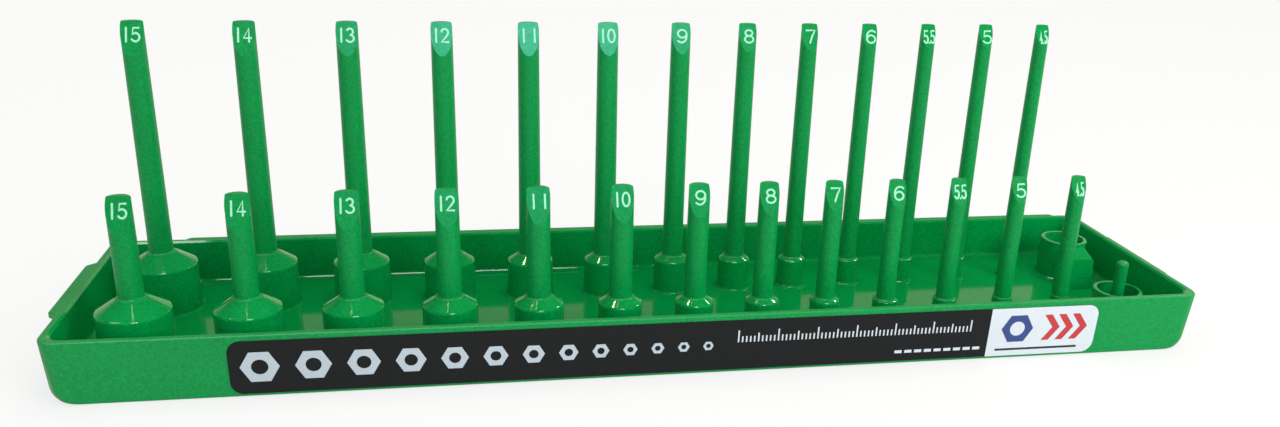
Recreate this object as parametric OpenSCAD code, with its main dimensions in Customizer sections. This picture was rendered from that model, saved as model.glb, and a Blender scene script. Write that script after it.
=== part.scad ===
// Socket organizer tray: a long shallow moulded tray whose two rows of upright
// posts hold deep and short metric drive sockets in order of size.
// X runs along the tray from the largest size to the smallest, Y runs from the
// labelled front wall to the back wall, and Z = 0 is the table that it stands on.

/* [Tray] */
// Width of the tray across the rim, front to back
tray_w = 65.2; // [60:0.1:90]
// Height of the rim above the table
tray_h = 15.7; // [12:0.1:24]
// Thickness of the walls
wall_t = 2; // [1.5:0.1:3]
// Draft of the walls, inside and outside, in degrees
wall_draft = 3; // [1:0.5:5]
// Radius of the upright corners
corner_r = 4; // [3.5:0.5:8]
// Radius where the two ends turn under to the base
end_turn_r = 3.5; // [1:0.5:6]
// Radius where the front and back turn under to the base
side_turn_r = 0.8; // [0.4:0.1:2]
// Height of the floor's top face above the table
floor_h = 4.2; // [3.6:0.1:6]
// Thickness of the floor
floor_t = 2; // [1.5:0.1:3]
// Radius in the corner between floor and walls
floor_fillet_r = 1.2; // [0.4:0.1:3]
// Rounding of the rim's outer edge and chamfer of its inner edge
rim_edge = 0.5; // [0.2:0.1:0.7]

/* [Ledges] */
// How far the end ledges stand out from the rim
end_ledge_out = 2.1; // [1:0.1:4]
// Length of an end ledge where it leaves the rim
end_ledge_l = 33; // [20:1:48]
// How far the right ledge lies below the rim
right_ledge_drop = 1; // [0:0.1:3]
// How far the back ledge stands out from the rim
back_ledge_out = 1.3; // [0.8:0.1:3]
// Distance of the back ledge from the left end of the tray
back_ledge_start = 18.5; // [10:0.5:60]
// Distance of the back ledge from the right end of the tray
back_ledge_stop = 6.5; // [6:0.5:60]
// Thickness of the ledges
ledge_t = 1.6; // [1:0.1:3]
// Chamfer of the ledges' upper edge
ledge_chamfer = 0.4; // [0.1:0.1:0.6]

/* [Rows] */
// Distance of the front row from the front of the rim
front_row_inset = 16.1; // [14:0.1:20]
// Distance between the two rows
row_pitch = 30; // [26:0.5:36]
// Free space between neighbouring sockets
socket_gap = 4.5; // [3:0.1:8]
// Outside diameter of the smallest sockets
socket_od_min = 12; // [11:0.1:14]
// Growth of a socket's outside diameter for each millimetre of size
socket_od_step = 1.26; // [1.15:0.01:1.4]
// Part of a socket's outside diameter that doesn't grow with the size
socket_od_base = 2.44; // [1:0.01:4]
// Free space between the largest socket and the left wall
end_gap = 4.2; // [3:0.1:10]

/* [Hubs] */
// Clearance of a hub inside the corners of its socket's hexagon, on the radius
hub_clearance = 0.22; // [0.1:0.01:0.4]
// Height of a hub's edge above the floor, without the share that grows with size
hub_h_base = 3.8; // [3.4:0.1:6]
// Growth of a hub's height for each millimetre of size
hub_h_step = 0.52; // [0.3:0.01:0.7]
// Slope of the hub's cone in degrees
hub_slope = 32; // [20:1:40]
// Rounding between a hub's side and its cone
hub_edge_r = 0.8; // [0.3:0.1:1]
// Fillet at the foot of a hub
hub_fillet_r = 0.8; // [0.2:0.1:1]
// Wall of the hubs that are cored out from below
hub_wall_t = 1.9; // [1.5:0.1:2.5]

/* [Posts] */
// Height of the deep sockets' posts above the table
deep_post_h = 77.2; // [60:0.1:100]
// Height of the short sockets' posts above the table
short_post_h = 43.3; // [36:0.1:55]
// Diameter of the thickest posts at the foot, which pass a quarter-inch square
post_d_max = 5.85; // [5.2:0.05:6]
// Diameter of a thinner post at the foot, without the share that grows with size
post_d_base = 3.1; // [2.6:0.05:3.4]
// Growth of a thinner post's diameter for each millimetre of size
post_d_step = 0.27; // [0.2:0.01:0.35]
// Draft of the posts in degrees
post_draft = 0.25; // [0:0.05:0.5]
// Fillet at the foot of a post
post_foot_r = 0.6; // [0.2:0.05:0.8]
// Rounding of a post's top edge
post_top_r = 0.2; // [0.1:0.05:0.6]
// Lean of the slanted flat that carries a post's size, in degrees
flat_lean = 25; // [18:0.5:35]
// Share of the post's diameter that the flat takes off at the top
flat_cut = 0.68; // [0.3:0.01:0.75]
// Length of the spigot below a post's foot
spigot_l = 6; // [3:0.1:6.4]
// Spigot's diameter as a share of the post's
spigot_share = 0.64; // [0.5:0.01:0.7]
// Play of a spigot in its bore, on the radius
spigot_play = 0.05; // [0.02:0.01:0.1]
// Free depth under a spigot's end
spigot_end_gap = 0.4; // [0.2:0.1:1]
// Length of the lead-in taper at a spigot's end
spigot_lead = 0.4; // [0.2:0.1:1]

/* [Cups] */
// Distance of the cups from the smallest posts
cup_pitch = 17.1; // [13:0.1:25]
// Distance of the cups from the right end of the tray
cup_inset = 13.25; // [12.5:0.05:20]
// Inside diameter of the cups
cup_bore_d = 10.8; // [8:0.1:12]
// Wall of the cups
cup_wall_t = 1; // [0.8:0.1:1.6]
// Height of the back cup's rim above the table
back_cup_h = 15.3; // [12:0.1:20]
// Height of the front cup's rim above the table
front_cup_h = 11.3; // [8:0.1:16]
// Height of the pin in the front cup above the table
cup_pin_h = 19.4; // [14:0.1:26]
// Diameter of the pin in the front cup
cup_pin_d = 3.2; // [2.6:0.1:4]
// Rounding of the pin's top edge
cup_pin_top_r = 1; // [0.4:0.1:1.2]
// Rounding of the cups' rims on the outside
cup_edge_r = 0.3; // [0.1:0.1:0.6]
// Width of the gusset in front of the back cup
gusset_w = 6.5; // [4:0.1:9]
// How far the gusset reaches forward past the back cup's wall
gusset_out = 5.3; // [1:0.1:7]
// Drop of the gusset's sloping top towards the front
gusset_drop = 1.9; // [1:0.1:5]
// Chamfer along the sides of the gusset's top
gusset_edge = 0.3; // [0.1:0.1:0.6]

/* [Label] */
// Length of the label on the front wall
label_l = 212; // [150:1:220]
// Height of the label along the wall
label_h = 13.4; // [8:0.1:13.8]
// Distance of the label from the left end of the tray
label_start = 39.5; // [15:0.5:45]
// Height of the label's lower edge above the table
label_rise = 0.95; // [0.9:0.05:1.2]
// Radius of the label's corners
label_corner_r = 3; // [0.5:0.1:4]
// Thickness of the label
label_t = 0.15; // [0.1:0.05:0.4]
// Thickness of the adhesive behind the label
adhesive_t = 0.02; // [0.01:0.01:0.05]

/* [Hidden] */
// Socket sizes in millimetres, from left to right, alike in both rows
sizes = [15, 14, 13, 12, 11, 10, 9, 8, 7, 6, 5.5, 5, 4.5];
last = len(sizes) - 1;
largest = sizes[0];

round_fn = 64;
corner_fn = 32;
turn_step = 15;
edge_step = 30;
slab_t = 0.01;
cut_over = 0.5;
hub_edge_min = 0.12;
cone_min = 0.08;
quarter = 90;

green = [0.11, 0.56, 0.29];
label_black = [0.13, 0.14, 0.14];

// Places along the tray, which is as long as what it holds
function socket_od(s) = max(socket_od_min, socket_od_base + socket_od_step * s);
function pitch(i) = (socket_od(sizes[i]) + socket_od(sizes[i + 1])) / 2 + socket_gap;
function run_to(i) = i == 0 ? 0 : run_to(i - 1) + pitch(i - 1);
first_inset = wall_t + end_gap + socket_od(largest) / 2;
tray_l = first_inset + run_to(last) + cup_pitch + cup_inset;
function post_x(i) = first_inset - tray_l / 2 + run_to(i);
front_row_y = front_row_inset - tray_w / 2;
back_row_y = front_row_y + row_pitch;
cup_x = tray_l / 2 - cup_inset;
cup_r = cup_bore_d / 2 + cup_wall_t;

// What stands on the floor is rooted halfway down into it
mid_floor = floor_h - floor_t / 2;

// How far the wall's outer face has drawn in at height z
function draft_in(z) = (tray_h - z) * tan(wall_draft);
// How far a quarter round of radius r has drawn in at height z above its foot
function turn_in(r, z) = z >= r ? 0 : r - sqrt(r * r - (r - z) * (r - z));
function turn_heights(r) = [for (a = [0 : turn_step : quarter]) r * (1 - cos(a))];

// Sizes of a hub and its post
function post_r(s) = min(post_d_max, post_d_base + post_d_step * s) / 2;
function spigot_r(s) = post_r(s) * spigot_share;
function foot_r(s) = post_r(s) + post_foot_r;
function hub_r(s) = s / sqrt(3) - hub_clearance;
function hub_edge_z(s) = floor_h + hub_h_base + hub_h_step * s;
// The rounding is held back on the smallest hubs, which have hardly a cone left
function hub_edge(s) = max(hub_edge_min, min(hub_edge_r, hub_r(s) - foot_r(s)));
function cone_start_r(s) = hub_r(s) - hub_edge(s) * (1 - sin(hub_slope));
function cone_start_z(s) = hub_edge_z(s) + hub_edge(s) * cos(hub_slope);
function seat_r(s) = min(foot_r(s), cone_start_r(s) - cone_min);
function seat_z(s) = cone_start_z(s) + (cone_start_r(s) - seat_r(s)) * tan(hub_slope);
function bore_z(s) = seat_z(s) - spigot_l - spigot_end_gap;
function core_r(s) = hub_r(s) - hub_wall_t;
function core_top(s) = bore_z(s) - hub_wall_t;
function is_cored(s) = core_r(s) > spigot_r(s) + hub_wall_t / 2;

// Node names: a half size is written with a low line for its point
tenths = 10;
function size_name(s) = s == floor(s) ? str(s) : str(floor(s), "_", (s - floor(s)) * tenths);
function deep_name(s) = str("deep_post_", size_name(s));
function short_name(s) = str("short_post_", size_name(s));

// Flat outline with round corners, centred
module rounded_plan(l, w, r, fn = round_fn) {
    square([l - 2 * r, w], center = true);
    square([l, w - 2 * r], center = true);
    for (x = [-1, 1], y = [-1, 1])
        translate([x * (l / 2 - r), y * (w / 2 - r)]) circle(r, $fn = fn);
}

// Thin level of the tray's outline, drawn in by in_x at the ends and in_y at the sides
module level(z, in_x, in_y) {
    translate([0, 0, z])
        linear_extrude(slab_t)
            rounded_plan(tray_l - 2 * in_x, tray_w - 2 * in_y, corner_r, corner_fn);
}

// Solid outer form: drafted walls that turn under to the base, with a rounded rim
module outer_form() {
    hull() {
        for (z = concat(turn_heights(end_turn_r), turn_heights(side_turn_r)))
            level(z, draft_in(z) + turn_in(end_turn_r, z), draft_in(z) + turn_in(side_turn_r, z));
        for (a = [0 : edge_step : quarter]) {
            edge_in = rim_edge * (1 - cos(a));
            level(tray_h - rim_edge * (1 - sin(a)) - slab_t, edge_in, edge_in);
        }
    }
}

// Hollow above the floor, with a fillet round the floor and an open chamfered mouth
module basin() {
    hull() {
        level(tray_h, wall_t, wall_t);
        for (z = turn_heights(floor_fillet_r)) {
            wall_in = wall_t + draft_in(floor_h + z) + turn_in(floor_fillet_r, z);
            level(floor_h + z, wall_in, wall_in);
        }
    }
    hull() {
        level(tray_h - rim_edge, wall_t, wall_t);
        level(tray_h, wall_t - rim_edge, wall_t - rim_edge);
    }
}

// Shallow recess under the floor, inside the foot ring that the tray stands on
module underside_recess() {
    ring_end = draft_in(0) + end_turn_r + wall_t;
    ring_side = draft_in(0) + side_turn_r + wall_t;
    translate([0, 0, -cut_over])
        linear_extrude(floor_h - floor_t + cut_over)
            rounded_plan(tray_l - 2 * ring_end, tray_w - 2 * ring_side, corner_r / 2);
}

// Ledge along a rim that lies on the X axis, standing out towards +Y, top face at z = 0
module ledge(l, out) {
    root = wall_t / 2;
    module plan(stand, trim) {
        half = l / 2 - trim;
        polygon([[-half, -root], [half, -root], [half, 0],
                 [half - stand, stand], [-half + stand, stand], [-half, 0]]);
    }
    hull() {
        translate([0, 0, -ledge_t])
            linear_extrude(ledge_t - ledge_chamfer) plan(out, 0);
        translate([0, 0, -slab_t])
            linear_extrude(slab_t) plan(out - ledge_chamfer, ledge_chamfer);
    }
}

// The two end ledges and the long one at the back
module ledges() {
    back_l = tray_l - back_ledge_start - back_ledge_stop;
    translate([-tray_l / 2, 0, tray_h])
        rotate(quarter) ledge(end_ledge_l, end_ledge_out);
    translate([tray_l / 2, 0, tray_h - right_ledge_drop])
        rotate(-quarter) ledge(end_ledge_l, end_ledge_out);
    translate([(back_ledge_start - back_ledge_stop) / 2, tray_w / 2, tray_h])
        ledge(back_l, back_ledge_out);
}

// Hub of one size: fillet at the floor, straight side, rounded edge, cone and flat seat
module hub(s) {
    r = hub_r(s);
    edge = hub_edge(s);
    rotate_extrude($fn = round_fn)
        polygon(concat(
            [[0, mid_floor], [r + hub_fillet_r, mid_floor]],
            [for (a = [0 : turn_step : quarter])
                [r + hub_fillet_r * (1 - sin(a)), floor_h + hub_fillet_r * (1 - cos(a))]],
            [for (a = [0 : turn_step : quarter - hub_slope])
                [r - edge * (1 - cos(a)), hub_edge_z(s) + edge * sin(a)]],
            [[cone_start_r(s), cone_start_z(s)], [seat_r(s), seat_z(s)], [0, seat_z(s)]]
        ));
}

// What is taken out of a hub: the spigot's bore, and a core from below on the wide ones
module hub_hollows(s) {
    translate([0, 0, bore_z(s)])
        cylinder(h = seat_z(s) - bore_z(s) + cut_over, r = spigot_r(s) + spigot_play, $fn = round_fn);
    if (is_cored(s))
        translate([0, 0, -cut_over])
            cylinder(h = core_top(s) + cut_over, r = core_r(s), $fn = round_fn);
}

module at_every_post() {
    for (i = [0 : last], y = [front_row_y, back_row_y])
        translate([post_x(i), y, 0]) {
            $size = sizes[i];
            children();
        }
}

// Outside of a cup, from within the floor to its rounded rim, with a fillet at the floor
module cup_outside(h) {
    rotate_extrude($fn = round_fn)
        polygon(concat(
            [[0, mid_floor], [cup_r + hub_fillet_r, mid_floor]],
            [for (a = [0 : turn_step : quarter])
                [cup_r + hub_fillet_r * (1 - sin(a)), floor_h + hub_fillet_r * (1 - cos(a))]],
            [for (a = [0 : edge_step : quarter])
                [cup_r - cup_edge_r * (1 - cos(a)), h - cup_edge_r * (1 - sin(a))]],
            [[0, h]]
        ));
}

module cup_bore(h) {
    translate([0, 0, floor_h])
        cylinder(h = h - floor_h + cut_over, d = cup_bore_d, $fn = round_fn);
}

// Thick gusset in front of the back cup, with drafted faces and a top that slopes forward
module gusset() {
    front = -cup_r - gusset_out;
    leave = -cup_r + cup_wall_t / 2;
    top = back_cup_h - 2 * cup_edge_r;
    spread = (top - mid_floor) * tan(wall_draft);
    module slice(w, sink) {
        translate([-w / 2, 0, 0])
            rotate([quarter, 0, quarter])
                linear_extrude(w)
                    polygon([[0, mid_floor], [front, mid_floor], [front, top - gusset_drop - sink],
                             [leave, top - sink], [0, top - sink]]);
    }
    hull() {
        slice(gusset_w - 2 * gusset_edge, 0);
        slice(gusset_w, gusset_edge);
        translate([-gusset_w / 2 - spread, front - spread, mid_floor])
            cube([gusset_w + 2 * spread, spread - front, slab_t]);
    }
}

module tray() {
    color(green)
        difference() {
            union() {
                difference() {
                    outer_form();
                    basin();
                }
                ledges();
                at_every_post() hub($size);
                translate([cup_x, back_row_y, 0]) {
                    cup_outside(back_cup_h);
                    gusset();
                }
                translate([cup_x, front_row_y, 0]) cup_outside(front_cup_h);
            }
            underside_recess();
            at_every_post() hub_hollows($size);
            translate([cup_x, back_row_y, 0]) cup_bore(back_cup_h);
            translate([cup_x, front_row_y, 0]) {
                cup_bore(front_cup_h);
                cylinder(h = tray_h, r = cup_pin_d / 2 * spigot_share + spigot_play, $fn = round_fn);
            }
        }
}

// Post of one size with its top at height h: spigot, filleted foot, drafted stem and
// the slanted flat on the front, which reaches flat_cut of the way through at the top
module post(s, h) {
    foot = post_r(s);
    stem_l = h - seat_z(s);
    top = foot - stem_l * tan(post_draft);
    flat_reach = 2 * foot / sin(flat_lean);
    color(green)
        translate([0, 0, seat_z(s)])
            difference() {
                rotate_extrude($fn = round_fn)
                    polygon(concat(
                        [[0, -spigot_l], [spigot_r(s) - spigot_lead / 2, -spigot_l],
                         [spigot_r(s), -spigot_l + spigot_lead], [spigot_r(s), 0]],
                        [for (a = [0 : turn_step : quarter])
                            [foot + (seat_r(s) - foot) * (1 - sin(a)), post_foot_r * (1 - cos(a))]],
                        [for (a = [0 : edge_step : quarter])
                            [top - post_top_r * (1 - cos(a)), stem_l - post_top_r * (1 - sin(a))]],
                        [[0, stem_l]]
                    ));
                translate([0, top * (2 * flat_cut - 1), stem_l])
                    rotate([-flat_lean, 0, 0])
                        translate([-foot * 2, -foot * 2, -flat_reach])
                            cube([foot * 4, foot * 2, flat_reach + foot]);
            }
}

// Pin that stands in the front cup, with a domed top and a spigot through the floor
module cup_pin() {
    r = cup_pin_d / 2;
    spigot = r * spigot_share;
    color(green)
        translate([cup_x, front_row_y, 0])
            rotate_extrude($fn = round_fn)
                polygon(concat(
                    [[0, floor_h - floor_t], [spigot, floor_h - floor_t],
                     [spigot, floor_h], [r, floor_h]],
                    [for (a = [0 : turn_step : quarter])
                        [r - cup_pin_top_r * (1 - cos(a)), cup_pin_h - cup_pin_top_r * (1 - sin(a))]],
                    [[0, cup_pin_h]]
                ));
}

// Label stuck on the drafted front wall
module front_label() {
    wall_y = -(tray_w / 2 - draft_in(label_rise));
    color(label_black)
        translate([label_start - tray_l / 2, wall_y, label_rise])
            rotate([quarter + wall_draft, 0, 0])
                translate([label_l / 2, label_h / 2, adhesive_t])
                    linear_extrude(label_t)
                        rounded_plan(label_l, label_h, label_corner_r);
}

tray();
for (i = [0 : last]) {
    translate([post_x(i), back_row_y, 0]) post(sizes[i], deep_post_h);
    translate([post_x(i), front_row_y, 0]) post(sizes[i], short_post_h);
}
cup_pin();
front_label();
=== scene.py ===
# Socket tray: a moulded green tray whose two rows of numbered posts hold metric drive
# sockets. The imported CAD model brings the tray, the posts, the cup pin and the front
# label. This script gives them their finishes and adds the print on posts and label.
import math

import bpy
from mathutils import Matrix, Vector


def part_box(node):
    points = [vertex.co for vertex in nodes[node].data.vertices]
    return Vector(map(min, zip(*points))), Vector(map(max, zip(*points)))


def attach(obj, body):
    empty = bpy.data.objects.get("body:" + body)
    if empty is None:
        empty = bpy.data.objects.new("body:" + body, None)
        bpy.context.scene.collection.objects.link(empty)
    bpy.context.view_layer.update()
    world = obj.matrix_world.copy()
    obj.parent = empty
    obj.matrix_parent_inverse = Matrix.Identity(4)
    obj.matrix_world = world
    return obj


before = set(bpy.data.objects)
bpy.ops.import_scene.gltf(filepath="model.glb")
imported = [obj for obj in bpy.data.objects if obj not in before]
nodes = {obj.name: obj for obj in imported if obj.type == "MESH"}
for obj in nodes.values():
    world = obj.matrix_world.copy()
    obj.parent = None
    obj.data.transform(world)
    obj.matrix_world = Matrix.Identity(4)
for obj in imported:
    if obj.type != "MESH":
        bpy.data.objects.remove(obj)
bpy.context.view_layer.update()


# --- Camera ---------------------------------------------------------------------
# It stands in front of the left half of the tray, above it and close by, and looks a
# little to the right and down. The picture is framed off the lens's axis. All of it
# was fitted together with the tray's size to points of the photograph.
MM = 0.001
CAMERA_AT = Vector((-49.49, -270.29, 122.99)) * MM
YAW, PITCH, ROLL = 0.1889, 0.3669, 0.0353
FOCAL_PX, AXIS_PX, PICTURE_PX = 1119.9, (655.9, 261.9), (1280, 427)
SENSOR_MM = 36
NEAREST, FARTHEST = 0.01, 20


def axes_at(origin, x, y, z):
    """The matrix that turns a thing's own axes to x, y and z and moves it to origin."""
    return Matrix.Translation(origin) @ Matrix((x, y, z)).transposed().to_4x4()


flat_ahead = math.cos(PITCH)
ahead = Vector((math.sin(YAW) * flat_ahead, math.cos(YAW) * flat_ahead, -math.sin(PITCH)))
level = Vector((math.cos(YAW), -math.sin(YAW), 0))
above = level.cross(ahead)
right = level * math.cos(ROLL) + above * math.sin(ROLL)
up = above * math.cos(ROLL) - level * math.sin(ROLL)

camera = bpy.data.objects.new("camera", bpy.data.cameras.new("camera"))
bpy.context.scene.collection.objects.link(camera)
camera.matrix_world = axes_at(CAMERA_AT, right, up, -ahead)
camera.data.sensor_width = SENSOR_MM
camera.data.lens = FOCAL_PX * SENSOR_MM / PICTURE_PX[0]
camera.data.shift_x = (PICTURE_PX[0] / 2 - AXIS_PX[0]) / PICTURE_PX[0]
camera.data.shift_y = (AXIS_PX[1] - PICTURE_PX[1] / 2) / PICTURE_PX[0]
camera.data.clip_start, camera.data.clip_end = NEAREST, FARTHEST
bpy.context.scene.camera = camera
bpy.context.scene.view_settings.view_transform = "Standard"


# --- Tray -----------------------------------------------------------------------
# One injection moulding of green ABS. The mould is spark eroded on the outside, which
# leaves a fine even grain that dulls the shine, and polished inside, so that the floor
# and the hubs mirror what is around them.
TRAY_GREEN, TRAY_GREEN_DEEP = "#039b4b", "#028e43"
ABS_IOR, TRAY_SPECULAR = 1.53, 0.25
OUTSIDE_ROUGHNESS, INSIDE_ROUGHNESS = 0.5, 0.08
# The outer faces of the walls lie further out than this
OUTSIDE_X, OUTSIDE_Y = 138.6 * MM, 31.2 * MM
# Clouds in the pigment, and slow waves that cooling leaves on the polished side
FLOW_SIZE, FLOW_DETAIL, SINK_SIZE = 30 * MM, 2, 7 * MM
# The real grain is below 0.1 mm; this is the finest that shows
GRAIN_SIZE, GRAIN_DETAIL = 0.6 * MM, 1
SINK_BUMP, GRAIN_BUMP, BUMP_DEPTH = 0.03, 0.14, 0.2 * MM
# Painted light on the grain's crests and painted shade in its hollows: how much lighter
# and darker they make the green, over this part of the grain's range
GRAIN_SHADING, GRAIN_SHADING_FROM, GRAIN_SHADING_TO = 0.15, 0.3, 0.7
# The Mix node's sockets go by number, because its kinds share their names: the factor,
# two numbers or two colours to mix, and the mixed colour that comes out
FACTOR, FIRST, SECOND, FIRST_COLOUR, SECOND_COLOUR, MIXED_COLOUR = 0, 2, 3, 6, 7, 2


def linear(hex_colour):
    """The linear colour of an sRGB hex value, by the formula of that standard."""
    channels = [int(hex_colour[i : i + 2], 16) / 255 for i in (1, 3, 5)]
    return (*[c / 12.92 if c <= 0.04045 else ((c + 0.055) / 1.055) ** 2.4 for c in channels], 1)


def add(tree, kind, inputs=None, **settings):
    """Adds a node with its settings; an input takes a value, or the socket that feeds it."""
    node = tree.nodes.new(kind)
    for name, value in settings.items():
        setattr(node, name, value)
    for name, value in (inputs or {}).items():
        if isinstance(value, bpy.types.NodeSocket):
            tree.links.new(value, node.inputs[name])
        else:
            node.inputs[name].default_value = value
    return node


def new_material(name):
    """An empty node material and its tree."""
    material = bpy.data.materials.new(name)
    material.use_nodes = True
    material.node_tree.nodes.clear()
    return material, material.node_tree


def outside_mask(tree, place):
    """1 on the outer faces of the walls, 0 inside the tray, from the place on the piece."""
    xyz = add(tree, "ShaderNodeSeparateXYZ", {"Vector": place})
    beyond = []
    for axis, limit in (("X", OUTSIDE_X), ("Y", OUTSIDE_Y)):
        reach = add(tree, "ShaderNodeMath", {0: xyz.outputs[axis]}, operation="ABSOLUTE")
        past = add(
            tree, "ShaderNodeMath", {0: reach.outputs[0], 1: limit}, operation="GREATER_THAN"
        )
        beyond.append(past.outputs[0])
    outer = add(tree, "ShaderNodeMath", {0: beyond[0], 1: beyond[1]}, operation="MAXIMUM")
    return outer.outputs[0]


def finish_abs(tree, place, grain, bump, roughness, specular):
    """Ends a green ABS material. The pigment flows unevenly, which shows as faint clouds a
    few centimetres wide. Painted light makes the grain's crests a little lighter and
    painted shade makes its hollows a little darker."""
    flow = add(
        tree, "ShaderNodeTexNoise",
        {"Vector": place, "Scale": 1 / FLOW_SIZE, "Detail": FLOW_DETAIL},
    )
    green = add(
        tree, "ShaderNodeMix",
        {
            FACTOR: flow.outputs["Fac"],
            FIRST_COLOUR: linear(TRAY_GREEN_DEEP), SECOND_COLOUR: linear(TRAY_GREEN),
        },
        data_type="RGBA",
    )
    # Painted light and shade on the grain: its crests lighter, its hollows darker
    grain_shading = add(
        tree, "ShaderNodeMapRange",
        {
            "Value": grain, "From Min": GRAIN_SHADING_FROM, "From Max": GRAIN_SHADING_TO,
            "To Min": 1 - GRAIN_SHADING, "To Max": 1 + GRAIN_SHADING,
        },
    )
    pigment = add(
        tree, "ShaderNodeHueSaturation",
        {"Color": green.outputs[MIXED_COLOUR], "Value": grain_shading.outputs[0]},
    )
    plastic = add(
        tree, "ShaderNodeBsdfPrincipled",
        {
            "Base Color": pigment.outputs[0], "Roughness": roughness, "IOR": ABS_IOR,
            "Specular IOR Level": specular, "Normal": bump,
        },
    )
    add(tree, "ShaderNodeOutputMaterial", {"Surface": plastic.outputs[0]})


tray_abs, tree = new_material("green_abs_moulded")
place = add(tree, "ShaderNodeTexCoord").outputs["Object"]
outside = outside_mask(tree, place)
grain = add(
    tree, "ShaderNodeTexNoise",
    {"Vector": place, "Scale": 1 / GRAIN_SIZE, "Detail": GRAIN_DETAIL},
).outputs["Fac"]
waves = add(
    tree, "ShaderNodeTexNoise",
    {"Vector": place, "Scale": 1 / SINK_SIZE, "Detail": GRAIN_DETAIL},
).outputs["Fac"]
relief = add(tree, "ShaderNodeMix", {FACTOR: outside, FIRST: waves, SECOND: grain})
depth = add(
    tree, "ShaderNodeMapRange", {"Value": outside, "To Min": SINK_BUMP, "To Max": GRAIN_BUMP}
)
bump = add(
    tree, "ShaderNodeBump",
    {"Height": relief.outputs[0], "Strength": depth.outputs[0], "Distance": BUMP_DEPTH},
)
roughness = add(
    tree, "ShaderNodeMapRange",
    {"Value": outside, "To Min": INSIDE_ROUGHNESS, "To Max": OUTSIDE_ROUGHNESS},
)
finish_abs(tree, place, grain, bump.outputs[0], roughness.outputs[0], TRAY_SPECULAR)
nodes["tray"].data.materials[0] = tray_abs


# --- Posts and cup pin ----------------------------------------------------------
# 26 posts and a pin of the same ABS, each pressed with its spigot into its bore. The
# mould for their drafted stems is ground satin, so they shine softly. The slanted
# flats are smoother and catch the light.
STEM_ROUGHNESS, FLAT_ROUGHNESS = 0.4, 0.22
STEM_SPECULAR, STEM_BUMP = 0.18, 0.12
FLAT_LEAN = math.radians(25)
FLAT_FACING = (0, -math.cos(FLAT_LEAN), math.sin(FLAT_LEAN))
# A face belongs to the flat when the cosine between their normals is above this
FLAT_COSINE = 0.975

post_abs, tree = new_material("green_abs_satin")
coordinates = add(tree, "ShaderNodeTexCoord")
place = coordinates.outputs["Object"]
facing = add(
    tree, "ShaderNodeVectorMath",
    {0: coordinates.outputs["Normal"], 1: FLAT_FACING},
    operation="DOT_PRODUCT",
).outputs["Value"]
on_flat = add(tree, "ShaderNodeMath", {0: facing, 1: FLAT_COSINE}, operation="GREATER_THAN")
grain = add(
    tree, "ShaderNodeTexNoise",
    {"Vector": place, "Scale": 1 / GRAIN_SIZE, "Detail": GRAIN_DETAIL},
).outputs["Fac"]
bump = add(
    tree, "ShaderNodeBump", {"Height": grain, "Strength": STEM_BUMP, "Distance": BUMP_DEPTH}
)
roughness = add(
    tree, "ShaderNodeMapRange",
    {"Value": on_flat.outputs[0], "To Min": STEM_ROUGHNESS, "To Max": FLAT_ROUGHNESS},
)
finish_abs(tree, place, grain, bump.outputs[0], roughness.outputs[0], STEM_SPECULAR)
for name, node in nodes.items():
    if "post" in name or name == "cup_pin":
        node.data.materials[0] = post_abs


# --- Size numerals --------------------------------------------------------------
# Plain single-stroke numbers, hot stamped in pale green foil on the flat of every
# post. The foil is matt and a little patchy. Each number is a set of flattened
# strokes that stands a few hundredths of a millimetre proud.
FOIL, FOIL_DEEP = "#aef3d2", "#8fe3b8"
FOIL_ROUGHNESS, FILM_IOR = 0.45, 1.5
# Patches where the foil took unevenly, drawn as coarse as they need to show
PATCH_SIZE, PATCH_DETAIL = 0.6 * MM, 2
NUMERAL_H, STROKE_W, FOIL_T = 3.8 * MM, 0.5 * MM, 0.05 * MM
# From the flat's upper end down to the ink, and from the post's middle to the right
NUMERAL_DROP, SINGLE_SHIFT, PAIR_SHIFT = 1.5 * MM, 0.25 * MM, 0.15 * MM
# Widths of a digit on its own, of one in a pair and of one in a half size
SINGLE_W, PAIR_W, HALF_W = 2.75 * MM, 2.2 * MM, {"5.5": 1.55 * MM, "4.5": 1.1 * MM}
# Gaps after a 1, between two of them, and between the digits of a half size
AFTER_ONE, BETWEEN_ONES, HALF_GAP = 0.77 * MM, 2.2 * MM, 0.32 * MM
TUBE_SIDES, BALL_RINGS = 12, 6
# Points are rounded to this many places, so that ends that meet are equal
PLACES = 12
# The flat's faces look to the front and a little up
FLAT_Y_BELOW, FLAT_Z_ABOVE = -0.8, 0.2
ALONG = Vector((1, 0, 0))


def arc(x, y, rx, ry, start, stop, steps=14):
    """Points on an ellipse from one angle to another, in degrees."""
    angles = [math.radians(start + (stop - start) * i / steps) for i in range(steps + 1)]
    points = [(x + rx * math.cos(a), y + ry * math.sin(a)) for a in angles]
    return [(round(u, PLACES), round(v, PLACES)) for u, v in points]


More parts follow.
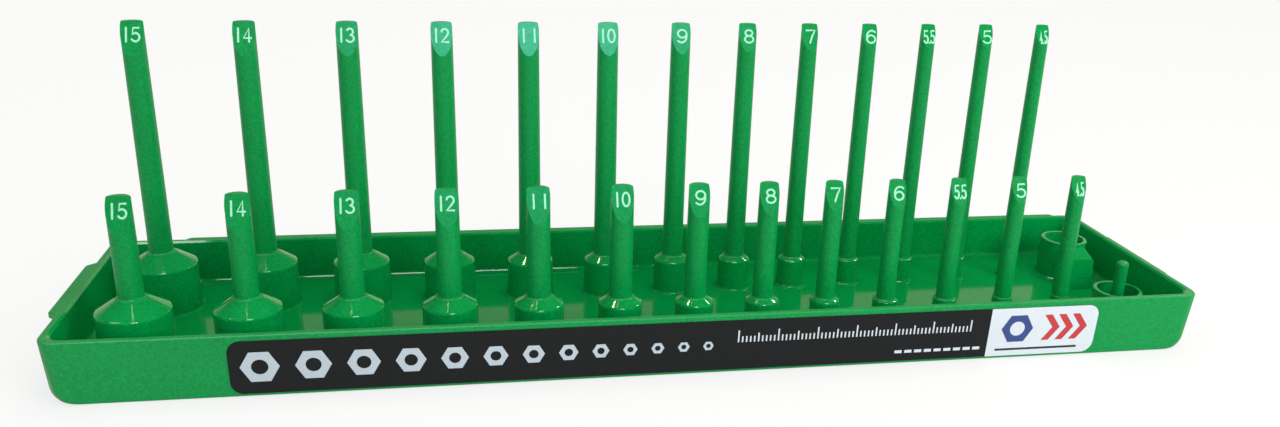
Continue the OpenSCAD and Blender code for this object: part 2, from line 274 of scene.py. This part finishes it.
# Middle lines of the digits in a box of 1 x 1; a line that ends where it began is closed
DIGITS = {
    "0": [arc(0.5, 0.5, 0.5, 0.5, 90, 450, 28)],
    "1": [[(0.5, 0), (0.5, 1)]],
    "2": [arc(0.5, 0.72, 0.48, 0.28, 165, -25) + [(0.62, 0.36), (0, 0), (1, 0)]],
    "3": [arc(0.46, 0.76, 0.42, 0.24, 150, -80) + arc(0.46, 0.26, 0.54, 0.26, 85, -150)],
    "4": [[(0.72, 0), (0.72, 1), (0, 0.27), (1, 0.27)]],
    "5": [[(0.92, 1), (0.2, 1), (0.08, 0.54)] + arc(0.47, 0.31, 0.53, 0.31, 125, -150)],
    "6": [arc(0.5, 0.31, 0.5, 0.31, 90, 450, 28), arc(0.62, 0.48, 0.62, 0.52, 50, 195)],
    "7": [[(0, 1), (1, 1), (0.62, 0.5), (0.36, 0)]],
    "8": [arc(0.5, 0.77, 0.42, 0.23, 90, 450, 24), arc(0.5, 0.27, 0.5, 0.27, 90, 450, 26)],
    "9": [arc(0.5, 0.69, 0.5, 0.31, 90, 450, 28), arc(0.38, 0.52, 0.62, 0.52, -130, 15)],
    ".": [[(0.5, 0), (0.5, 0.02)]],
}


def numeral_lines(text):
    """The strokes of a number, centred at X = 0, with the top of its ink at Y = 0."""
    if "." in text:
        digit_w, gap = HALF_W[text], HALF_GAP
    else:
        digit_w = SINGLE_W if len(text) == 1 else PAIR_W
        gap = BETWEEN_ONES if text == "11" else AFTER_ONE
    # A stroke's middle line stays half its width inside the ink
    box_w, box_h = digit_w - STROKE_W, NUMERAL_H - STROKE_W
    foot = STROKE_W / 2 - NUMERAL_H
    lines, left = [], 0
    for sign in text:
        narrow = sign in "1."
        start = left - (gap + STROKE_W) / 2 if sign == "." else left
        shift = start + STROKE_W / 2 - (box_w / 2 if narrow else 0)
        lines += [[(shift + u * box_w, foot + v * box_h) for u, v in line] for line in DIGITS[sign]]
        if sign != ".":
            left += (STROKE_W if narrow else digit_w) + gap
    middle = (left - gap) / 2
    return [[(u - middle, v) for u, v in line] for line in lines]


def new_nodes(name, inputs):
    """A Geometry Nodes tree with a geometry in, a geometry out and named inputs."""
    tree = bpy.data.node_groups.new(name, "GeometryNodeTree")
    tree.interface.new_socket("Geometry", in_out="INPUT", socket_type="NodeSocketGeometry")
    tree.interface.new_socket("Geometry", in_out="OUTPUT", socket_type="NodeSocketGeometry")
    for label, kind in inputs.items():
        tree.interface.new_socket(label, in_out="INPUT", socket_type=kind)
    return tree, add(tree, "NodeGroupInput").outputs


def finish_nodes(tree, geometry, material):
    """Ends a tree in Realize Instances and Set Material."""
    real = add(tree, "GeometryNodeRealizeInstances", {"Geometry": geometry})
    dressed = add(
        tree, "GeometryNodeSetMaterial", {"Geometry": real.outputs[0], "Material": material}
    )
    add(tree, "NodeGroupOutput", {"Geometry": dressed.outputs[0]})


def grown(name, data, tree, values, at):
    """A plain mesh piece that a tree with its input values makes from data, placed by at."""
    maker = bpy.data.objects.new(name + ".maker", data)
    bpy.context.scene.collection.objects.link(maker)
    modifier = maker.modifiers.new("shape", "NODES")
    modifier.node_group = tree
    for item in tree.interface.items_tree:
        if item.in_out == "INPUT" and item.name in values:
            modifier[item.identifier] = values[item.name]
    bpy.context.view_layer.update()
    evaluated = maker.evaluated_get(bpy.context.evaluated_depsgraph_get())
    mesh = bpy.data.meshes.new_from_object(evaluated)
    mesh.name = name
    mesh.transform(at)
    bpy.data.objects.remove(maker)
    piece = bpy.data.objects.new(name, mesh)
    bpy.context.scene.collection.objects.link(piece)
    return piece


def flat_place(node):
    """Where a post's flat begins at the top: X across, Y up along the flat and Z out of it."""
    low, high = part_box(node.name)
    faces = [
        p for p in node.data.polygons
        if p.normal.y < FLAT_Y_BELOW and p.normal.z > FLAT_Z_ABOVE
    ]
    out = sum((p.normal * p.area for p in faces), Vector()).normalized()
    touch = max(faces, key=lambda p: p.area).center
    uphill = out.cross(ALONG).normalized()
    start = touch + uphill * ((high.z - touch.z) / uphill.z)
    start.x = (low.x + high.x) / 2
    return axes_at(start, ALONG, uphill, out)


foil, tree = new_material("hot_stamping_foil")
place = add(tree, "ShaderNodeTexCoord").outputs["Object"]
patches = add(
    tree, "ShaderNodeTexNoise",
    {"Vector": place, "Scale": 1 / PATCH_SIZE, "Detail": PATCH_DETAIL},
)
colour = add(
    tree, "ShaderNodeMix",
    {FACTOR: patches.outputs["Fac"], FIRST_COLOUR: linear(FOIL_DEEP), SECOND_COLOUR: linear(FOIL)},
    data_type="RGBA",
)
film = add(
    tree, "ShaderNodeBsdfPrincipled",
    {"Base Color": colour.outputs[MIXED_COLOUR], "Roughness": FOIL_ROUGHNESS, "IOR": FILM_IOR},
)
add(tree, "ShaderNodeOutputMaterial", {"Surface": film.outputs[0]})

# Strokes become round tubes with round ends, pressed flat
strokes, group = new_nodes("stamped_strokes", {
    "Stroke Width": "NodeSocketFloat",
    "Foil Thickness": "NodeSocketFloat",
})
radius = add(
    strokes, "ShaderNodeMath", {0: group["Stroke Width"], 1: 0.5}, operation="MULTIPLY"
).outputs[0]
ring = add(
    strokes, "GeometryNodeCurvePrimitiveCircle", {"Resolution": TUBE_SIDES, "Radius": radius}
)
tube = add(
    strokes, "GeometryNodeCurveToMesh",
    {"Curve": group["Geometry"], "Profile Curve": ring.outputs[0], "Fill Caps": True},
)
ends = add(strokes, "GeometryNodeCurveEndpointSelection")
ball = add(
    strokes, "GeometryNodeMeshUVSphere",
    {"Segments": TUBE_SIDES, "Rings": BALL_RINGS, "Radius": radius},
)
round_ends = add(
    strokes, "GeometryNodeInstanceOnPoints",
    {"Points": group["Geometry"], "Selection": ends.outputs[0], "Instance": ball.outputs[0]},
)
joined = add(strokes, "GeometryNodeJoinGeometry")
for part in (tube, round_ends):
    strokes.links.new(part.outputs[0], joined.inputs[0])
squash = add(strokes, "ShaderNodeMath", {0: group["Foil Thickness"], 1: radius}, operation="DIVIDE")
scale = add(strokes, "ShaderNodeCombineXYZ", {"X": 1, "Y": 1, "Z": squash.outputs[0]})
real = add(strokes, "GeometryNodeRealizeInstances", {"Geometry": joined.outputs[0]})
pressed = add(
    strokes, "GeometryNodeTransform", {"Geometry": real.outputs[0], "Scale": scale.outputs[0]}
)
finish_nodes(strokes, pressed.outputs[0], foil)

for name, node in nodes.items():
    if "post" not in name:
        continue
    text = name.split("_post_")[1].replace("_", ".")
    lines = bpy.data.curves.new(name + ".lines", "CURVE")
    lines.dimensions = "3D"
    for points in numeral_lines(text):
        closed = points[0] == points[-1]
        kept = points[:-1] if closed else points
        spline = lines.splines.new("POLY")
        spline.points.add(len(kept) - 1)
        for point, (x, y) in zip(spline.points, kept):
            point.co = (x, y, 0, 1)
        spline.use_cyclic_u = closed
    shift = SINGLE_SHIFT if len(text) == 1 else PAIR_SHIFT
    piece = grown(
        "numeral_" + name, lines, strokes,
        {"Stroke Width": STROKE_W, "Foil Thickness": FOIL_T},
        flat_place(node) @ Matrix.Translation((shift, -NUMERAL_DROP, 0)),
    )
    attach(piece, "root")


# --- Front label ----------------------------------------------------------------
# A strip of black vinyl with rounded corners, stuck on the front wall and screen
# printed with nuts, a rule and a white end panel. The vinyl has a dull sheen and is a
# little uneven; the inks are even matt films with very slight pinholes.
VINYL_BLACK, VINYL_DEEP = "#16191a", "#0f1213"
VINYL_ROUGHNESS, VINYL_SPECULAR = 0.45, 0.2
FILM_SIZE, FILM_DETAIL, FILM_BUMP, FILM_DEPTH = 2.5 * MM, 2, 0.05, 0.1 * MM
LABEL_L, LABEL_H, CORNER_R = 212 * MM, 13.4 * MM, 3 * MM
# The label's printed faces look to the front
LABEL_Y_BELOW = -0.9
SILVER, WHITE, RED, NAVY, BLACK_INK = "#c6d3dc", "#dfe8ee", "#c8343a", "#2d4688", "#24282b"
SILVER_ROUGHNESS, INK_ROUGHNESS, INK_T = 0.4, 0.45, 0.03 * MM
# Real pinholes are as fine as the screen's mesh; these are as coarse as they need to show
PINHOLE_SIZE, PINHOLE_DETAIL, PINHOLE_DARK, PINHOLE_LIGHT = 0.5 * MM, 2, 0.9, 1.06

vinyl, tree = new_material("black_vinyl_printed")
place = add(tree, "ShaderNodeTexCoord").outputs["Object"]
uneven = add(
    tree, "ShaderNodeTexNoise",
    {"Vector": place, "Scale": 1 / FILM_SIZE, "Detail": FILM_DETAIL},
).outputs["Fac"]
shade = add(
    tree, "ShaderNodeMix",
    {FACTOR: uneven, FIRST_COLOUR: linear(VINYL_DEEP), SECOND_COLOUR: linear(VINYL_BLACK)},
    data_type="RGBA",
)
bump = add(
    tree, "ShaderNodeBump", {"Height": uneven, "Strength": FILM_BUMP, "Distance": FILM_DEPTH}
)
film = add(
    tree, "ShaderNodeBsdfPrincipled",
    {
        "Base Color": shade.outputs[MIXED_COLOUR], "Roughness": VINYL_ROUGHNESS,
        "IOR": FILM_IOR, "Specular IOR Level": VINYL_SPECULAR, "Normal": bump.outputs[0],
    },
)
add(tree, "ShaderNodeOutputMaterial", {"Surface": film.outputs[0]})
nodes["front_label"].data.materials[0] = vinyl


def print_ink(name, hex_colour, roughness=INK_ROUGHNESS):
    """A screen-printing ink of one colour."""
    material, tree = new_material(name)
    place = add(tree, "ShaderNodeTexCoord").outputs["Object"]
    pinholes = add(
        tree, "ShaderNodeTexNoise",
        {"Vector": place, "Scale": 1 / PINHOLE_SIZE, "Detail": PINHOLE_DETAIL},
    )
    value = add(
        tree, "ShaderNodeMapRange",
        {"Value": pinholes.outputs["Fac"], "To Min": PINHOLE_DARK, "To Max": PINHOLE_LIGHT},
    )
    colour = add(
        tree, "ShaderNodeHueSaturation", {"Color": linear(hex_colour), "Value": value.outputs[0]}
    )
    film = add(
        tree, "ShaderNodeBsdfPrincipled",
        {"Base Color": colour.outputs[0], "Roughness": roughness, "IOR": FILM_IOR},
    )
    add(tree, "ShaderNodeOutputMaterial", {"Surface": film.outputs[0]})
    return material


silver_ink = print_ink("silver_screen_ink", SILVER, SILVER_ROUGHNESS)
white_ink = print_ink("white_screen_ink", WHITE)
red_ink = print_ink("red_screen_ink", RED)
navy_ink = print_ink("navy_screen_ink", NAVY)
black_ink = print_ink("black_screen_ink", BLACK_INK)

# The label's lower left corner: X along it, Y up the wall and Z out of it
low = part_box("front_label")[0]
printable = [p for p in nodes["front_label"].data.polygons if p.normal.y < LABEL_Y_BELOW]
out = sum((p.normal * p.area for p in printable), Vector()).normalized()
foremost = max(p.center.dot(out) for p in printable)
corner = Vector((low.x, (foremost - low.z * out.z) / out.y, low.z))
LABEL_PLACE = axes_at(corner, ALONG, out.cross(ALONG).normalized(), out)


def rectangle(left, low, right, high):
    """The outline of a rectangle."""
    return [(left, low), (right, low), (right, high), (left, high)]


def printed(name, outlines, material, lift=0.0):
    """A thin closed film of ink on the label; lift puts it on other ink. The outlines run
    anticlockwise, and an edge that two of them share has no wall."""
    corners = list(dict.fromkeys(point for outline in outlines for point in outline))
    count = len(corners)
    under = [[corners.index(point) for point in outline] for outline in outlines]
    top = [[i + count for i in loop] for loop in under]
    edges = [edge for loop in under for edge in zip(loop, loop[1:] + loop[:1])]
    walls = [(a, b, b + count, a + count) for a, b in edges if (b, a) not in edges]
    points = [(x, y, z) for z in (0, INK_T) for x, y in corners]
    mesh = bpy.data.meshes.new(name)
    mesh.from_pydata(points, [], [loop[::-1] for loop in under] + top + walls)
    mesh.materials.append(material)
    mesh.transform(LABEL_PLACE @ Matrix.Translation((0, 0, lift)))
    piece = bpy.data.objects.new(name, mesh)
    bpy.context.scene.collection.objects.link(piece)
    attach(piece, "root")


# Solid hexagons with a round hole, one for each size, from large to small
NUT_SIZES = [15, 14, 13, 12, 11, 10, 9, 8, 7, 6, 5.5, 5, 4.5]
# Printed at half the real size, with a hole of half the width
NUT_SCALE, HOLE_SHARE = 0.5, 0.5
NUTS_FROM, NUTS_TO, NUTS_MIDDLE = 2.4 * MM, 111.4 * MM, 6.8 * MM
HEX_SIDES, HOLE_SIDES = 6, 36
# A hexagon's corner radius for a width of 1 across its flats
HEX_CORNER = 1 / math.sqrt(3)
# The film's top and bottom are welded where they meet
WELD = 0.002 * MM

nuts, group = new_nodes("printed_nuts", {
    "Hole Share": "NodeSocketFloat",
    "Ink Thickness": "NodeSocketFloat",
})
hexagon = add(
    nuts, "GeometryNodeCurvePrimitiveCircle", {"Resolution": HEX_SIDES, "Radius": HEX_CORNER}
)
hole_r = add(nuts, "ShaderNodeMath", {0: group["Hole Share"], 1: 0.5}, operation="MULTIPLY")
hole = add(
    nuts, "GeometryNodeCurvePrimitiveCircle",
    {"Resolution": HOLE_SIDES, "Radius": hole_r.outputs[0]},
)
outline = add(nuts, "GeometryNodeJoinGeometry")
for part in (hexagon, hole):
    nuts.links.new(part.outputs[0], outline.inputs[0])
sheet = add(nuts, "GeometryNodeFillCurve", {"Curve": outline.outputs[0]})
across = add(nuts, "GeometryNodeInputNamedAttribute", {"Name": "across"}, data_type="FLOAT")
row = add(
    nuts, "GeometryNodeInstanceOnPoints",
    {
        "Points": group["Geometry"], "Instance": sheet.outputs[0],
        "Scale": across.outputs["Attribute"],
    },
)
real = add(nuts, "GeometryNodeRealizeInstances", {"Geometry": row.outputs[0]})
lifted = add(
    nuts, "GeometryNodeExtrudeMesh",
    {"Mesh": real.outputs[0], "Offset Scale": group["Ink Thickness"], "Individual": False},
)
under = add(nuts, "GeometryNodeFlipFaces", {"Mesh": real.outputs[0]})
both = add(nuts, "GeometryNodeJoinGeometry")
for part in (lifted, under):
    nuts.links.new(part.outputs[0], both.inputs[0])
welded = add(
    nuts, "GeometryNodeMergeByDistance", {"Geometry": both.outputs[0], "Distance": WELD}
)
finish_nodes(nuts, welded.outputs[0], silver_ink)

# Each nut takes its width over the corners, and the gaps between them are alike
flats = [size * NUT_SCALE * MM for size in NUT_SIZES]
widths = [size * NUT_SCALE * MM * 2 / math.sqrt(3) for size in NUT_SIZES]
gap = (NUTS_TO - NUTS_FROM - sum(widths)) / (len(widths) - 1)
middles = [NUTS_FROM + sum(widths[:i]) + gap * i + w / 2 for i, w in enumerate(widths)]
points = bpy.data.meshes.new("nut_points")
points.from_pydata([(x, NUTS_MIDDLE, 0) for x in middles], [], [])
points.attributes.new("across", "FLOAT", "POINT").data.foreach_set("value", flats)
piece = grown(
    "label_nuts", points, nuts, {"Hole Share": HOLE_SHARE, "Ink Thickness": INK_T}, LABEL_PLACE
)
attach(piece, "root")

# A rule of marks 1 mm apart, every fifth longer and every tenth longer still
RULE_FROM, RULE_BASE, RULE_MARKS, MARK_PITCH = 117.5 * MM, 7.4 * MM, 61, 1 * MM
MARK_W, MARK_H = 0.36 * MM, 1 * MM
LONGER_EVERY = (5, 10)
# How many times MARK_H a short mark is high, and what being longer adds each time
SHORT_MARK, LONGER_BY = 1.6, 0.8

rule, group = new_nodes("printed_rule", {
    "Marks": "NodeSocketInt",
    "Spacing": "NodeSocketFloat",
    "Mark Width": "NodeSocketFloat",
    "Mark Height": "NodeSocketFloat",
    "Ink Thickness": "NodeSocketFloat",
})
step = add(rule, "ShaderNodeCombineXYZ", {"X": group["Spacing"]})
row = add(rule, "GeometryNodeMeshLine", {"Count": group["Marks"], "Offset": step.outputs[0]})
mark_size = add(
    rule, "ShaderNodeCombineXYZ",
    {"X": group["Mark Width"], "Y": group["Mark Height"], "Z": group["Ink Thickness"]},
)
mark = add(rule, "GeometryNodeMeshCube", {"Size": mark_size.outputs[0]})
half_up = add(rule, "ShaderNodeMath", {0: group["Mark Height"], 1: 0.5}, operation="MULTIPLY")
lift = add(rule, "ShaderNodeCombineXYZ", {"Y": half_up.outputs[0]})
standing = add(
    rule, "GeometryNodeTransform", {"Geometry": mark.outputs[0], "Translation": lift.outputs[0]}
)
index = add(rule, "GeometryNodeInputIndex").outputs[0]
# A mark is longer when its number leaves no rest
longer = []
for every in LONGER_EVERY:
    rest = add(rule, "ShaderNodeMath", {0: index, 1: every}, operation="MODULO")
    hit = add(rule, "ShaderNodeMath", {0: rest.outputs[0], 1: 0.5}, operation="LESS_THAN")
    longer.append(hit.outputs[0])
steps = add(rule, "ShaderNodeMath", {0: longer[0], 1: longer[1]}, operation="ADD")
length = add(
    rule, "ShaderNodeMath",
    {0: steps.outputs[0], 1: LONGER_BY, 2: SHORT_MARK},
    operation="MULTIPLY_ADD",
)
stretch = add(rule, "ShaderNodeCombineXYZ", {"X": 1, "Y": length.outputs[0], "Z": 1})
marks = add(
    rule, "GeometryNodeInstanceOnPoints",
    {
        "Points": row.outputs[0], "Instance": standing.outputs[0],
        "Scale": stretch.outputs[0],
    },
)
finish_nodes(rule, marks.outputs[0], white_ink)
piece = grown(
    "label_rule", bpy.data.meshes.new("rule_start"), rule,
    {
        "Marks": RULE_MARKS, "Spacing": MARK_PITCH, "Mark Width": MARK_W,
        "Mark Height": MARK_H, "Ink Thickness": INK_T,
    },
    LABEL_PLACE @ Matrix.Translation((RULE_FROM, RULE_BASE, INK_T / 2)),
)
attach(piece, "root")

# A broken line under the rule's right half
DASH_L, DASH_LOW, DASH_HIGH = 1.9 * MM, 2.2 * MM, 3.0 * MM
DASHES_FROM_MM, DASH_PITCH_MM, DASHES = 158, 2.6, 9
dash_starts = [(DASHES_FROM_MM + DASH_PITCH_MM * i) * MM for i in range(DASHES)]
printed(
    "label_dashes",
    [rectangle(x, DASH_LOW, x + DASH_L, DASH_HIGH) for x in dash_starts],
    white_ink,
)

# The white end panel follows the label's rounded corners
PANEL_FROM, CORNER_STEPS = 182.6 * MM, 9
round_x = LABEL_L - CORNER_R
panel = [
    (PANEL_FROM, 0),
    *arc(round_x, CORNER_R, CORNER_R, CORNER_R, -90, 0, CORNER_STEPS),
    *arc(round_x, LABEL_H - CORNER_R, CORNER_R, CORNER_R, 0, 90, CORNER_STEPS),
    (PANEL_FROM, LABEL_H),
]
printed("label_panel", [panel], white_ink)

# On it a navy nut in six sectors, three red chevrons and a thin line
PRINT_MIDDLE = 7.6 * MM
NUT_X, NUT_R, HOLE_R = 190.2 * MM, 4.3 * MM, 2.0 * MM
SECTOR, SECTOR_STEPS = 60, 6
CHEVRON_STARTS = (197.2 * MM, 201 * MM, 204.8 * MM)
CHEVRON_H, CHEVRON_W, CHEVRON_REACH = 3.6 * MM, 2.0 * MM, 2.6 * MM
LINE_FROM, LINE_LOW, LINE_TO, LINE_HIGH = 185 * MM, 1.5 * MM, 207.5 * MM, 2.1 * MM

sectors = [
    arc(NUT_X, PRINT_MIDDLE, NUT_R, NUT_R, turn, turn + SECTOR, 1)
    + arc(NUT_X, PRINT_MIDDLE, HOLE_R, HOLE_R, turn + SECTOR, turn, SECTOR_STEPS)
    for turn in range(0, 360, SECTOR)
]
printed("label_navy_nut", sectors, navy_ink, INK_T)

chevrons = []
for x in CHEVRON_STARTS:
    left_edge = [
        (x, PRINT_MIDDLE + CHEVRON_H),
        (x + CHEVRON_REACH, PRINT_MIDDLE),
        (x, PRINT_MIDDLE - CHEVRON_H),
    ]
    right_edge = [(u + CHEVRON_W, v) for u, v in reversed(left_edge)]
    chevrons.append(left_edge + right_edge)
printed("label_red_chevrons", chevrons, red_ink, INK_T)

printed(
    "label_thin_line", [rectangle(LINE_FROM, LINE_LOW, LINE_TO, LINE_HIGH)], black_ink, INK_T
)


# --- Floor and light ------------------------------------------------------------
# A pale matt table top that runs out of view, under soft light from above and in
# front. Small bright sources give the sharp highlights that polished plastic shows.
# In metres; the camera sees none of its edges
FLOOR_SIZE = 8
# The table top's colour as it lights the tray, and as it is looked at or mirrored
FLOOR_PALE, FLOOR_SEEN = "#c3c8cb", "#f6f8f9"
PURE_WHITE = "#ffffff"
# How much of a looked-at table top is plain white; the rest keeps the tray's shadow
PLAIN_SHARE = 0.72


def any_ray(tree, rays, kinds):
    """1 for a ray of one of the kinds, such as camera or glossy, else 0."""
    share = rays.outputs["Is %s Ray" % kinds[0]]
    for kind in kinds[1:]:
        other = rays.outputs["Is %s Ray" % kind]
        share = add(tree, "ShaderNodeMath", {0: share, 1: other}, operation="MAXIMUM").outputs[0]
    return share


half = FLOOR_SIZE / 2
floor = bpy.data.objects.new("floor", bpy.data.meshes.new("floor"))
bpy.context.scene.collection.objects.link(floor)
corners = [(-half, -half, 0), (half, -half, 0), (half, half, 0), (-half, half, 0)]
floor.data.from_pydata(corners, [], [(0, 1, 2, 3)])
table_top, tree = new_material("pale_table_top")
rays = add(tree, "ShaderNodeLightPath")
looked_at = any_ray(tree, rays, ("Camera", "Glossy", "Transmission"))
pale = add(
    tree, "ShaderNodeMix",
    {FACTOR: looked_at, FIRST_COLOUR: linear(FLOOR_PALE), SECOND_COLOUR: linear(FLOOR_SEEN)},
    data_type="RGBA",
)
matt = add(tree, "ShaderNodeBsdfDiffuse", {"Color": pale.outputs[MIXED_COLOUR]})
plain = add(tree, "ShaderNodeEmission", {"Color": linear(PURE_WHITE), "Strength": 1})
share = add(tree, "ShaderNodeMath", {0: looked_at, 1: PLAIN_SHARE}, operation="MULTIPLY")
mixed = add(
    tree, "ShaderNodeMixShader",
    {0: share.outputs[0], 1: matt.outputs[0], 2: plain.outputs[0]},
)
add(tree, "ShaderNodeOutputMaterial", {"Surface": mixed.outputs[0]})
floor.data.materials.append(table_top)

# The background is white to the camera. Mirrored in the plastic it is white too, low down
# behind the tray, and dimmer towards the room in front and above.
LIT_BY_WORLD, MIRRORED_ROOM, MIRRORED_WARM = 0.7, 0.14, "#f6ead2"
# A direction's share towards the back, and upwards, where the white is out and is full
BEHIND_NONE, BEHIND_FULL = 0, 0.4
UPWARDS_NONE, UPWARDS_FULL = 0.5, 0.3

world = bpy.data.worlds.new("studio")
world.use_nodes = True
world.node_tree.nodes.clear()
tree = world.node_tree
rays = add(tree, "ShaderNodeLightPath")
towards = add(tree, "ShaderNodeTexCoord").outputs["Generated"]
xyz = add(tree, "ShaderNodeSeparateXYZ", {"Vector": towards})
behind = add(
    tree, "ShaderNodeMapRange",
    {"Value": xyz.outputs["Y"], "From Min": BEHIND_NONE, "From Max": BEHIND_FULL},
)
low_down = add(
    tree, "ShaderNodeMapRange",
    {"Value": xyz.outputs["Z"], "From Min": UPWARDS_NONE, "From Max": UPWARDS_FULL},
)
backdrop = add(
    tree, "ShaderNodeMath", {0: behind.outputs[0], 1: low_down.outputs[0]}, operation="MULTIPLY"
)
mirrored = add(
    tree, "ShaderNodeMapRange",
    {"Value": backdrop.outputs[0], "To Min": MIRRORED_ROOM, "To Max": 1},
)
indirect = add(
    tree, "ShaderNodeMix",
    {FACTOR: rays.outputs["Is Glossy Ray"], FIRST: LIT_BY_WORLD, SECOND: mirrored.outputs[0]},
)
seen = any_ray(tree, rays, ("Camera", "Transmission"))
strength = add(tree, "ShaderNodeMix", {FACTOR: seen, FIRST: indirect.outputs[0], SECOND: 1})
tint = add(
    tree, "ShaderNodeMix",
    {
        FACTOR: rays.outputs["Is Glossy Ray"],
        FIRST_COLOUR: linear(PURE_WHITE), SECOND_COLOUR: linear(MIRRORED_WARM),
    },
    data_type="RGBA",
)
sky = add(
    tree, "ShaderNodeBackground",
    {"Color": tint.outputs[MIXED_COLOUR], "Strength": strength.outputs[0]},
)
add(tree, "ShaderNodeOutputWorld", {"Surface": sky.outputs[0]})
bpy.context.scene.world = world

# All lamps aim at a point above the middle of the table
AIM_AT = Vector((0, 0, 0.03))
KEY_WARM, LAMP_WARM, SKY_BLUE = "#ffe9c8", "#ffe2b8", "#80ddff"


def softbox(name, towards, distance, size, power, colour=PURE_WHITE, lights=True, mirrored=True):
    """An area light that stands in a direction from AIM_AT; it may only light or be mirrored."""
    light = bpy.data.lights.new(name, "AREA")
    light.shape = "RECTANGLE"
    light.size, light.size_y = size
    light.energy = power
    light.color = linear(colour)[:3]
    lamp = bpy.data.objects.new(name, light)
    bpy.context.scene.collection.objects.link(lamp)
    direction = Vector(towards).normalized()
    lamp.rotation_mode = "QUATERNION"
    lamp.location = direction * distance + AIM_AT
    lamp.rotation_quaternion = direction.to_track_quat("Z", "Y")
    lamp.visible_diffuse, lamp.visible_glossy = lights, mirrored


# The light on the plastic
softbox(
    "key_overhead", towards=(0.25, 0.1, 0.95), distance=1.6, size=(1.0, 0.7),
    power=6, colour=KEY_WARM, mirrored=False,
)
softbox(
    "front_low", towards=(0.1, -0.9, 0.4), distance=1.5, size=(1.2, 0.5),
    power=2.8, mirrored=False,
)
softbox(
    "fill_right", towards=(0.6, -0.7, 0.35), distance=0.6, size=(0.25, 0.25),
    power=1.45, mirrored=False,
)
# What the polished faces mirror: windows, the lit edge of a ceiling and two lamps
softbox(
    "window_behind_camera", towards=(0.05, -0.73, 0.68), distance=1.5, size=(0.4, 0.34),
    power=8.5, colour=SKY_BLUE, lights=False,
)
softbox(
    "window_right", towards=(0.71, 0.34, 0.62), distance=1.5, size=(0.24, 0.24),
    power=9, lights=False,
)
softbox(
    "ceiling_edge", towards=(-0.3, -0.42, 0.9), distance=1.5, size=(1.9, 0.3),
    power=28, lights=False,
)
softbox(
    "lamp_overhead", towards=(-0.27, 0.19, 0.944), distance=1.5, size=(0.12, 0.1),
    power=2.9, colour=LAMP_WARM, lights=False,
)
softbox(
    "lamp_further_left", towards=(-0.13, 0.07, 0.989), distance=1.5, size=(0.1, 0.04),
    power=0.22, colour=LAMP_WARM, lights=False,
)
